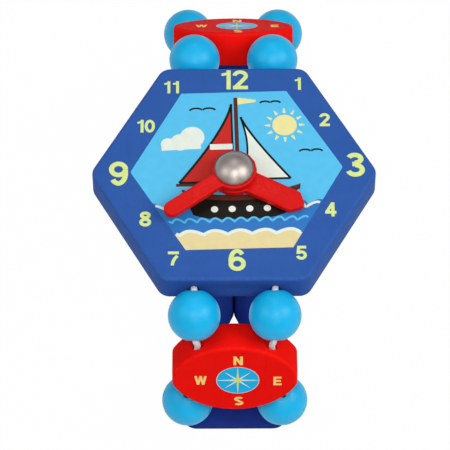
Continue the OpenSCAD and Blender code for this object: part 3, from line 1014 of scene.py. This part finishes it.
class WATCH_OT_links(Operator):
    """Two barrel links: two bowed edges, corner arcs, rounded edges and two fanning bores"""

    bl_idname = "watch.links"
    bl_label = "Barrel links"

    def execute(self, context):
        length, t, r = mm("link_length"), mm("link_thickness"), mm("link_corner")
        big, end_angle = link_bow()
        y = length / 2 - big
        x = (big - r) * np.sin(np.radians(end_angle))
        cy = y + (big - r) * np.cos(np.radians(end_angle))
        arcs = [
            (x, cy, r, 0, 90 - end_angle),
            (0, y, big, 90 - end_angle, 90 + end_angle),
            (-x, cy, r, 90 + end_angle, 180),
            (-x, -cy, r, 180, 270 - end_angle),
            (0, -y, big, 270 - end_angle, 270 + end_angle),
            (x, -cy, r, 270 + end_angle, 360),
        ]
        up = mm("link_bore_up")
        for k, end in enumerate(ENDS):
            mesh = raw_mesh("link", *capped(plate(arcs, t, mm("edge"), 22)))
            cutters = [
                bore_cutter(
                    "bore_" + side,
                    (sign * NEAR_X, bow(NEAR_X) - length / 2, up),
                    (sign * FAR_X, length / 2 - bow(FAR_X), up),
                    "link_bore",
                )
                for side, sign in SIDES.items()
            ]
            piece = finish_mesh(
                "barrel_link_" + end,
                carved(mesh, cutters),
                strap_turn(end, LINK_DIPS[end]),
                middle("link_" + end),
                [painted("link")],
                drift=LINK_DRIFT * k,
            )
            fit(piece, end + "_link", "link_red", "link_" + end)
        return {"FINISHED"}


class WATCH_OT_blocks(Operator):
    """Two blocks: four corner arcs, rounded edges and two bores that draw in"""

    bl_idname = "watch.blocks"
    bl_label = "Blocks"

    def execute(self, context):
        r = mm("block_corner")
        for k, end in enumerate(ENDS):
            length = block_length(end)
            x, y = extent("block_" + end)[0] / 2 - r, length / 2 - r
            arcs = [
                (x, y, r, 0, 90),
                (-x, y, r, 90, 180),
                (-x, -y, r, 180, 270),
                (x, -y, r, 270, 360),
            ]
            grid = plate(arcs, mm("block_thickness"), mm("block_edge"), 12)
            mesh = raw_mesh("block", *capped(grid))
            cutters = [
                bore_cutter(
                    "bore_" + side,
                    (sign * BLOCK_NEAR_X, -length / 2, 0),
                    (sign * BLOCK_X, length / 2, 0),
                )
                for side, sign in SIDES.items()
            ]
            piece = finish_mesh(
                "strap_block_" + end,
                carved(mesh, cutters),
                strap_turn(end, BLOCK_DIPS[end]),
                middle("block_" + end),
                [painted("block")],
                drift=BLOCK_DRIFT + LINK_DRIFT * k,
            )
            fit(piece, "strap_base", "block_blue", "block_" + end)
        return {"FINISHED"}


class WATCH_OT_tubes(Operator):
    """Two tubes: a turned profile with tapered ends, bore and knot pocket, widened to touch"""

    bl_idname = "watch.tubes"
    bl_label = "Tubes"

    def execute(self, context):
        bore, end, taper = mm("bore") / 2, mm("tube_end") / 2, mm("tube_taper")
        pocket, depth, soft, knee = mm("pocket") / 2, mm("pocket_depth"), TUBE_SOFT, TUBE_KNEE
        for side in SIDES:
            node = "tube_" + side
            size, place = extent(node), middle(node)
            r, half = size[2] / 2, size[1] / 2
            lean = np.degrees(np.arctan2(r - end, taper))
            shoulder = knee * np.tan(np.radians(lean) / 2)
            rear = np.vstack(
                [
                    [(pocket, half - depth), (pocket, half - soft)],
                    arc(pocket + soft, half - soft, soft, soft, 180, 90, 5),
                    arc(end - soft, half - soft, soft, soft, 90, 90 - (90 - lean) * 0.9, 5),
                    arc(r - knee, half - taper - shoulder, knee, knee, lean, 0, 6),
                ]
            )
            fore = np.vstack(
                [
                    [(bore, -half + soft)],
                    arc(bore + soft, -half + soft, soft, soft, 180, 270, 5),
                    arc(end - soft, -half + soft, soft, soft, 270, 270 + (90 - lean) * 0.9, 5),
                    arc(r - knee, taper + shoulder - half, knee, knee, -lean, 0, 6),
                ]
            )
            profile = np.vstack([rear, fore[::-1], [(bore, half - depth)]])
            points, faces = ring(turned(profile, 48))
            points = points * (TUBE_X / r, 1, 1)
            turn = np.array([[1.0, 0, 0], [0, 0, 1.0], [0, -1.0, 0]])
            piece = finish_mesh(
                "strap_tube_" + side,
                raw_mesh("tube", points, faces),
                turn,
                place,
                [painted("block")],
                rim=np.zeros(len(points)),
                drift=TUBE_DRIFTS[side],
            )
            fit(piece, "strap_base", "block_blue", node)
        return {"FINISHED"}


class WATCH_OT_beads(Operator):
    """Sixteen round beads: an arc turned about the bore, with a small flat round each mouth"""

    bl_idname = "watch.beads"
    bl_label = "Beads"

    def execute(self, context):
        r, b, f = mm("bead") / 2, mm("bead_bore") / 2, mm("flare")
        flat = mm("bead_flat") / 2
        pole = np.sqrt(r**2 - flat**2)
        lean = np.degrees(np.arctan2(pole, flat))
        profile = np.vstack(
            [
                arc(b + f, pole - f, f, f, 180, 90, 5),
                arc(0, 0, r, r, lean, -lean, 42),
                arc(b + f, f - pole, f, f, -90, -180, 5),
                [(b, -pole * 0.4), (b, pole * 0.4)],
            ]
        )
        points, faces = ring(turned(profile, 60))
        # Paint wears within 0.3 mm of the bore, and less and less up to 0.8 mm
        rim = np.clip(1.6 - (np.hypot(points[:, 0], points[:, 1]) - b) / 0.5, 0, 1)
        count = 0
        for end in ENDS:
            for kind in BEADS:
                for side in SIDES:
                    name = f"bead_{kind}_{end}_{side}"
                    joint = JOINTS[name + "_spin"]
                    z = np.array(joint["axis"], float)
                    x = np.array([1.0, 0, 0])
                    turn = np.stack([x, np.cross(z, x), z], 1)
                    count += 1
                    piece = finish_mesh(
                        "turned_" + name,
                        raw_mesh(name, points, faces),
                        turn,
                        np.array(joint["pos_m"]) / MM,
                        [painted("bead")],
                        rim=rim,
                        drift=BEAD_DRIFT * count,
                        sharp=BEAD_SHARP,
                    )
                    fit(piece, name + "_body", "bead_blue", name)
        return {"FINISHED"}


def bead_way(name, end, hug=0.0):
    """Bore mouths of a bead, in millimetres, moved inwards by hug across its bore."""
    joint = JOINTS[name + "_spin"]
    axis = np.array(joint["axis"], float)
    out = np.array([0, -ENDS[end] * axis[2], ENDS[end] * axis[1]])
    reach = np.sqrt((mm("bead") / 2) ** 2 - (mm("bore") / 2) ** 2)
    at = np.array(joint["pos_m"]) / MM - hug * out
    return at - reach * axis, at + reach * axis


def cord_way(end, sign):
    """Route of a cord from the dial to a tube on one side: mouths of pieces and beads, in order."""
    side = "right" if sign > 0 else "left"
    hug = HUG_SHARE * (mm("bead_bore") - mm("cord")) / 2
    dial = middle("dial_block") + (0, ENDS[end] * extent("dial_block")[1] / 2, hug)
    link, link_turn = middle("link_" + end), strap_turn(end, LINK_DIPS[end])
    block, block_turn = middle("block_" + end), strap_turn(end, BLOCK_DIPS[end])
    length, up, run = mm("link_length"), mm("link_bore_up"), block_length(end)
    tube, tube_size = middle("tube_" + side), extent("tube_" + side)
    points = [
        dial,
        *bead_way(f"bead_near_{end}_{side}", end, hug),
        link + link_turn @ (0, bow(NEAR_X) - length / 2, up),
        link + link_turn @ (0, length / 2 - bow(FAR_X), up),
        *bead_way(f"bead_far_{end}_{side}", end),
        block + block_turn @ (0, -run / 2, 0),
        block + block_turn @ (0, run / 2, 0),
        *bead_way(f"bead_low_{end}_{side}", end),
        *bead_way(f"bead_base_{end}_{side}", end),
        tube + (0, ENDS[end] * tube_size[1] / 2, 0),
    ]
    across = [DIAL_X + (NEAR_X - DIAL_X) * share for share in NEAR_SHARES]
    across += [FAR_X + (BLOCK_NEAR_X - FAR_X) * share for share in FAR_SHARES]
    across += [BLOCK_X + (TUBE_X - BLOCK_X) * share for share in LOW_SHARES]
    points = np.array(points)
    points[:, 0] = sign * np.array(across)
    return points


def travelled(points):
    """Distance along a route from its start to each of its points."""
    return np.concatenate([[0], np.cumsum(np.linalg.norm(np.diff(points, axis=0), axis=1))])


def smooth_way(points, pace=0.12, spread=0.4):
    """Route at an even pace, smoothed by a Gaussian of that spread, with its ends kept."""
    points = np.asarray(points, float)
    at = travelled(points)
    s = np.linspace(0, at[-1], int(at[-1] / pace) + 2)
    pad = int(4 * spread / pace)
    dense = np.stack([np.interp(s, at, points[:, k]) for k in range(3)], 1)
    first = 2 * dense[0] - dense[pad:0:-1]
    last = 2 * dense[-1] - dense[-2 : -pad - 2 : -1]
    weights = np.exp(-0.5 * (np.arange(-pad, pad + 1) * pace / spread) ** 2)
    weights /= weights.sum()
    padded = np.vstack([first, dense, last])
    return np.stack([np.convolve(padded[:, k], weights, "valid") for k in range(3)], 1)


def cord_piece(name, points, knot_at=None):
    """Tube about a smooth route: at each point a circle across its direction, with flat ends.

    A knot swells the radius to its own by a raised cosine, with three ridges winding round it.
    """
    way = smooth_way(points)[::2]
    along = np.gradient(way, axis=0)
    along /= np.linalg.norm(along, axis=1)[:, None]
    a = np.array([1.0, 0, 0]) - along[:, :1] * along
    a /= np.linalg.norm(a, axis=1)[:, None]
    b = np.cross(along, a)
    sides = 14
    turn = np.arange(sides) * 2 * np.pi / sides
    radius = np.full((len(way), sides), mm("cord") / 2)
    travel = travelled(way)
    if knot_at is not None:
        gap = np.linalg.norm(way - knot_at, axis=1) / (mm("knot") * KNOT_REACH)
        swell = np.where(gap < 1, 0.5 + 0.5 * np.cos(np.pi * np.minimum(gap, 1)), 0)[:, None]
        ridge = 1 - KNOT_RIDGE * (1 + np.sin(3 * turn[None] + travel[:, None] * KNOT_TWIST))
        radius = radius + swell * (mm("knot") / 2 * ridge - radius)
    grid = way[:, None] + radius[..., None] * (
        np.cos(turn)[None, :, None] * a[:, None] - np.sin(turn)[None, :, None] * b[:, None]
    )
    points, faces = capped(grid)
    mesh = raw_mesh(name, points, faces)
    braid = mesh.uv_layers.new(name="braid")
    corner = np.empty(len(mesh.loops), int)
    mesh.loops.foreach_get("vertex_index", corner)
    row, column = np.divmod(corner, sides)
    u = np.append(travel, [0, travel[-1], 0])[np.minimum(row, len(travel) + 1)]
    starts = np.empty(len(mesh.polygons), int)
    mesh.polygons.foreach_get("loop_start", starts)
    v = column / sides
    last = np.repeat(v[starts] > 0.9, np.diff(np.append(starts, len(corner))))
    v = np.where(last & (v < 0.1), 1.0, v)
    braid.data.foreach_set("uv", np.stack([u, v], 1).astype(np.float32).ravel())
    finish = covered_elastic("white_covered_elastic", paint("cord"))
    smooth = np.zeros(len(points))
    return finish_mesh(
        name, mesh, np.eye(3), np.zeros(3), [finish], rim=smooth, sharp=CORD_SHARP
    )


class WATCH_OT_cords(Operator):
    """Two elastic cords: tubes along the bores, in lengths parted at the joints of the strap"""

    bl_idname = "watch.cords"
    bl_label = "Cords"

    def execute(self, context):
        for side, sign in SIDES.items():
            front, rear = cord_way("front", sign), cord_way("rear", sign)
            dial = (front[0] + rear[0]) / 2
            middles = {
                (end, k): (way[k] + way[k + 1]) / 2
                for end, way in (("front", front), ("rear", rear))
                for k in (3, 7)
            }
            # The joint of dial and rear link is open, so the cord parts in the bead's mouth
            inside = rear[1] + MOUTH_SHARE * (rear[2] - rear[1])
            tube_end = middle("tube_" + side)[1] + extent("tube_" + side)[1] / 2
            knot = np.array([rear[13][0], tube_end - mm("pocket_depth") + mm("knot"), rear[13][2]])
            lengths = (
                (
                    "near_front",
                    [dial, *front[:4], middles["front", 3]],
                    ("dial", "front_link"),
                    (front[0], front[3]),
                ),
                (
                    "far_front",
                    [middles["front", 3], *front[4:8], middles["front", 7]],
                    ("front_link", "strap_base"),
                    (front[4], front[7]),
                ),
                (
                    "base",
                    [middles["front", 7], *front[8:], *rear[:7:-1], middles["rear", 7]],
                    ("strap_base",),
                    None,
                ),
                (
                    "far_rear",
                    [middles["rear", 7], *rear[7:3:-1], middles["rear", 3]],
                    ("strap_base", "rear_link"),
                    (rear[7], rear[4]),
                ),
                ("near_rear", [middles["rear", 3], *rear[3:0:-1]], ("rear_link",), None),
                ("under_dial", [dial, *rear[:2], inside], ("dial",), None),
            )
            for name, points, bodies, span in lengths:
                piece = cord_piece(f"cord_{name}_{side}", points, knot if name == "base" else None)
                if span is None:
                    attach(piece, bodies[0])
                else:
                    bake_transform(piece)
                if name == "base":
                    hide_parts("cord_" + side)
        return {"FINISHED"}


class WATCH_OT_numbers(Operator):
    """Numbers of the dial: films of ink along the strokes of each number"""

    bl_idname = "watch.numbers"
    bl_label = "Numbers"

    def execute(self, context):
        films = []
        for text, x, y, height in NUMBERS:
            stroke = LARGE_STROKE if height > LARGE_HEIGHT else SMALL_STROKE
            films += lettering(text, x, y, height, stroke, 0)
        piece = finish_mesh(
            "printed_numbers",
            print_mesh("numbers", films),
            np.eye(3),
            dial_face(),
            [ink("number")],
            sharp=PRINT_SHARP,
        )
        fit(piece, "dial", "dial_blue")
        return {"FINISHED"}


class WATCH_OT_picture(Operator):
    """Printed hexagon: sky, sun, cloud, gulls, sailing boat, sea and beach, films between edges"""

    bl_idname = "watch.picture"
    bl_label = "Picture"

    INKS = ("sky", "sea", "sand", "cream", "yellow", "black", "brown", "red")

    def hexagon(self, count=90):
        """Left and right edges of the hexagon from its top to its bottom."""
        r, flat = mm("picture"), mm("picture") * np.sqrt(3) / 2
        y = np.linspace(flat, -flat, count)
        x = r - abs(y) / np.sqrt(3)
        return np.stack([-x, y], 1), np.stack([x, y], 1)

    def sea(self, level, swell, span, phase):
        """Upper edge of a wave band across the hexagon and its floor below, as two edges."""
        r, flat = mm("picture"), mm("picture") * np.sqrt(3) / 2
        x = np.linspace(-1, 1, 160)
        crest = level + swell * abs(np.sin(np.pi * (x * r / span + phase)))
        top = np.stack([x * (r - abs(crest) / np.sqrt(3)), crest], 1)
        return top, np.stack([x * (r / 2), np.full_like(x, -flat)], 1)

    def execute(self, context):
        mark = {name: k for k, name in enumerate(self.INKS)}
        sea, near = self.sea(-6.6, 0.9, 3.6, 0.1), self.sea(-11.6, 0.7, 6.4, 0.45)
        t = np.linspace(0, 1, 30)
        leech = np.stack([-0.5 - 8.4 * t**1.35, 12.0 - 14.2 * t], 1)
        luff = np.stack([np.full_like(t, -0.5), 12.0 - 14.2 * t], 1)
        foot, sun = leech[-1], np.array([7.7, 7.9])
        jib_fore = np.stack([0.9 + 7.4 * t**1.2, 9.6 - 11.4 * t], 1)
        jib_aft = np.stack([0.9 + 0.9 * np.sin(np.pi * t), 9.6 - 11.4 * t], 1)
        hull_top = np.stack([-8.6 + 18.4 * t, -4.6 + 1.5 * (2 * t - 0.9) ** 2], 1)
        hull_low = np.stack([-6.9 + 14.2 * t, -8.9 + 0.9 * (2 * t - 1) ** 4], 1)
        strip_low = hull_top + np.stack([0.25 - 0.4 * t, np.full_like(t, -1.0)], 1)
        films = [
            (self.hexagon(), mark["sky"], 0),
            (sea, mark["sea"], 1),
            (ribbon(sea[0] * (0.965, 1) - (0, 0.5), 0.42), mark["cream"], 2),
            ((hull_top, hull_low), mark["black"], 3),
            ((hull_top, strip_low), mark["brown"], 4),
            (ribbon(self.sea(-9.4, 0.7, 3.0, 0.3)[0] * (0.95, 1), 0.32), mark["sky"], 5),
            (near, mark["sand"], 6),
            (ribbon(near[0] * (0.975, 1), 0.55), mark["cream"], 7),
            (ribbon([(0.2, -3.6), (0.2, 13.2)], 0.62), mark["brown"], 3),
            (ribbon([(-9.4, -2.6), (0.2, -2.6)], 0.5), mark["brown"], 4),
            ((luff, leech), mark["red"], 4),
            (ribbon(leech, 0.4), mark["black"], 5),
            (ribbon([foot, (-0.5, -2.2)], 0.4), mark["black"], 6),
            (ribbon(luff, 0.3), mark["black"], 5),
            (ribbon([(-0.5, 4.2), (-4.0, 4.2)], 1.0), mark["cream"], 7),
            ((jib_aft, jib_fore), mark["cream"], 4),
            (ribbon(jib_fore, 0.36), mark["black"], 5),
            (ribbon(jib_aft, 0.3), mark["black"], 5),
            (ribbon([jib_aft[-1], jib_fore[-1]], 0.36), mark["black"], 6),
            (([(0.5, 13.2), (0.5, 11.9)], [(3.4, 12.7), (3.3, 12.3)]), mark["yellow"], 4),
            (disc(*sun, 1.9), mark["yellow"], 2),
            (disc(-8.6, 5.2, 1.5), mark["cream"], 2),
            (disc(-6.7, 6.1, 1.9), mark["cream"], 3),
            (disc(-10.5, 4.9, 1.1), mark["cream"], 4),
            (ribbon([(-11.5, 4.2), (-5.4, 4.4)], 0.9), mark["cream"], 5),
        ]
        for a in np.radians(np.arange(0, 360, 30)):
            way = np.array([np.cos(a), np.sin(a)])
            ray = [sun + way * 2.25, sun + way * 3.1]
            films.append((ribbon(ray, [0.5, 0.16]), mark["yellow"], 2))
        for x in (-3.6, -0.9, 1.8, 4.5):
            films.append((disc(x, -7.1, 0.55), mark["cream"], 6))
        for x, y, s in ((-5.0, 10.9, 1.0), (5.6, 12.0, 0.8), (11.6, 2.9, 0.9)):
            films.append((ribbon(arc(x - s, y, s, 0.5 * s, 170, 20, 12), 0.3), mark["black"], 4))
            films.append((ribbon(arc(x + s, y, s, 0.5 * s, 160, 10, 12), 0.3), mark["black"], 5))
        lean = np.radians(PICTURE_LEAN)
        turn = np.array([[np.cos(lean), -np.sin(lean)], [np.sin(lean), np.cos(lean)]])
        placed = [
            ([np.asarray(edge, float) @ turn.T + PICTURE_SHIFT for edge in edges], ink_mark, layer)
            for edges, ink_mark, layer in films
        ]
        piece = finish_mesh(
            "printed_picture",
            print_mesh("picture", placed),
            np.eye(3),
            dial_face(),
            [ink(name) for name in self.INKS],
            sharp=PRINT_SHARP,
        )
        fit(piece, "dial", "dial_blue")
        return {"FINISHED"}


class WATCH_OT_compasses(Operator):
    """Printed compass on each link: a disc, an eight-pointed star and four letters"""

    bl_idname = "watch.compasses"
    bl_label = "Compasses"

    def execute(self, context):
        r = mm("compass")
        line = arc(0, 0, r - 0.04, r - 0.04, 0, 360, 64)
        films = [(disc(0, 0, r, count=40), 0, 0), (ribbon(line, 0.08), 3, 1)]
        for k in range(8):
            a = np.radians(45 * k)
            long = k % 2 == 0
            tip, waist, half = (r * 0.95, 0.6, 0.17) if long else (r * 0.8, 0.6, 0.14)
            way, side = np.array([np.sin(a), np.cos(a)]), np.array([np.cos(a), -np.sin(a)])
            left = [side * -0.05, way * waist - side * half, way * tip - side * 0.03]
            right = [side * 0.05, way * waist + side * half, way * tip + side * 0.03]
            films.append(((left, right), 1 if k % 4 == 0 else 3, 1 + k))
        films.append((disc(0, 0, 0.5), 1, 9))
        for text, x, y in LETTERS:
            films += lettering(text, x, y, mm("letter"), SMALL_STROKE, 2, 1)
        for k, end in enumerate(ENDS):
            shift = np.array(COMPASS_MIDDLES[end])
            placed = [
                ([np.asarray(edge) + shift for edge in edges], mark, layer)
                for edges, mark, layer in films
            ]
            turn = strap_turn(end, LINK_DIPS[end])
            place = middle("link_" + end) + turn @ (0, 0, mm("link_thickness") / 2)
            piece = finish_mesh(
                "printed_compass_" + end,
                print_mesh("compass", placed, ENDS[end]),
                turn,
                place,
                [ink("disc"), ink("star"), ink("letter"), ink("cream")],
                drift=COMPASS_DRIFT * k,
                sharp=PRINT_SHARP,
            )
            fit(piece, end + "_link", "link_red")
        return {"FINISHED"}


class WATCH_OT_stage(Operator):
    """White floor, faint light from all round, five softboxes and the camera"""

    bl_idname = "watch.stage"
    bl_label = "Stage"

    def floor(self):
        """Square floor whose diffuse light keeps a faint shadow over a white ground."""
        reach = FLOOR_REACH
        mesh = bpy.data.meshes.new("floor")
        corners = [(-reach, -reach, 0), (reach, -reach, 0), (reach, reach, 0), (-reach, reach, 0)]
        mesh.from_pydata(corners, [], [(0, 1, 2, 3)])
        floor = bpy.data.objects.new("floor", mesh)
        bpy.context.scene.collection.objects.link(floor)
        material, tree = blank("white_paper_sweep")
        path = add(tree, "LightPath")
        seen = path.outputs["Is Camera Ray"]
        for ray in ("Is Glossy Ray", "Is Transmission Ray"):
            either = add(tree, "Math", {"operation": "MAXIMUM"}, {0: seen, 1: path.outputs[ray]})
            seen = either.outputs[0]
        paper = add(tree, "BsdfDiffuse", None, {"Color": (PAPER, PAPER, PAPER, 1.0)})
        glow = add(tree, "Emission", None, {"Color": (1.0, 1.0, 1.0, 1.0), "Strength": 1.0})
        ground = add(
            tree, "MixShader", None, {0: PLAIN_SHARE, 1: paper.outputs[0], 2: glow.outputs[0]}
        )
        mixed = add(tree, "MixShader", None, {0: seen, 1: paper.outputs[0], 2: ground.outputs[0]})
        add(tree, "OutputMaterial", None, {"Surface": mixed.outputs[0]})
        mesh.materials.append(material)

    def lamp(self, name, place, size, watts, aim):
        """Square lamp that faces a point."""
        light = bpy.data.lights.new(name, "AREA")
        light.shape, light.size, light.energy = "SQUARE", size, watts
        lamp = bpy.data.objects.new(name, light)
        bpy.context.scene.collection.objects.link(lamp)
        back = np.array(place) - np.array(aim)
        back /= np.linalg.norm(back)
        right = np.cross([0.0, 1.0, 0.2], back)
        right /= np.linalg.norm(right)
        lamp.matrix_world = matrix(right, np.cross(back, right), back, place)

    def execute(self, context):
        scene = context.scene
        scene.view_settings.view_transform = "Standard"
        self.floor()
        world = bpy.data.worlds.new("tent")
        world.use_nodes = True
        tree = world.node_tree
        tree.nodes.clear()
        sky = add(tree, "Background", None, {"Color": (1.0, 1.0, 1.0, 1.0), "Strength": TENT})
        add(tree, "OutputWorld", None, {"Surface": sky.outputs[0]})
        scene.world = world
        face = dial_face() * MM
        for name, place, size, watts in LAMPS:
            self.lamp(name, place, size, watts, face)
        # The camera looks down at the dial from the front, through a long lens, with a slight roll
        rise, roll = np.radians(CAMERA_RISE), np.radians(CAMERA_ROLL)
        back = np.array([0, -np.cos(rise), np.sin(rise)])
        flat, up = np.array([1.0, 0, 0]), np.array([0, np.sin(rise), np.cos(rise)])
        right = np.cos(roll) * flat - np.sin(roll) * up
        top = np.cos(roll) * up + np.sin(roll) * flat
        aim = face + (CAMERA_AIM[0] * right + CAMERA_AIM[1] * top) * MM
        lens = bpy.data.cameras.new("camera")
        lens.sensor_width, lens.lens = SENSOR, LENS
        lens.clip_start, lens.clip_end = CAMERA_CLIPS
        camera = bpy.data.objects.new("camera", lens)
        scene.collection.objects.link(camera)
        camera.matrix_world = matrix(right, top, back, aim + CAMERA_DISTANCE * back)
        scene.camera = camera
        return {"FINISHED"}


def matrix(x, y, z, place):
    """Object matrix from its three axes and its place."""
    rows = np.eye(4)
    rows[:3] = np.stack([x, y, z, place], 1)
    return Matrix(rows.tolist())


class WATCH_PT_panel(Panel):
    """Sizes, colours and steps of the toy watch"""

    bl_idname = "WATCH_PT_panel"
    bl_label = "Toy watch"
    bl_space_type = "VIEW_3D"
    bl_region_type = "UI"
    bl_category = "Toy watch"

    def draw(self, context):
        for step in STEPS:
            self.layout.operator(step.bl_idname)
        for group in (context.scene.watch_sizes, context.scene.watch_colours):
            box = self.layout.box()
            for key in group.__annotations__:
                box.prop(group, key)


STEPS = (
    WATCH_OT_stage,
    WATCH_OT_cords,
    WATCH_OT_dial,
    WATCH_OT_hands,
    WATCH_OT_nail,
    WATCH_OT_links,
    WATCH_OT_blocks,
    WATCH_OT_tubes,
    WATCH_OT_beads,
    WATCH_OT_numbers,
    WATCH_OT_picture,
    WATCH_OT_compasses,
)


def register():
    for made in (WatchSizes, WatchColours, *STEPS, WATCH_PT_panel):
        bpy.utils.register_class(made)
    bpy.types.Scene.watch_sizes = PointerProperty(type=WatchSizes)
    bpy.types.Scene.watch_colours = PointerProperty(type=WatchColours)


def unregister():
    del bpy.types.Scene.watch_colours
    del bpy.types.Scene.watch_sizes
    for made in (WATCH_PT_panel, *reversed(STEPS), WatchColours, WatchSizes):
        bpy.utils.unregister_class(made)


def main():
    """Registers the add-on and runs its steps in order."""
    register()
    for step in STEPS:
        group, name = step.bl_idname.split(".")
        getattr(getattr(bpy.ops, group), name)()
    bpy.context.view_layer.update()


if __name__ == "__main__":
    main()
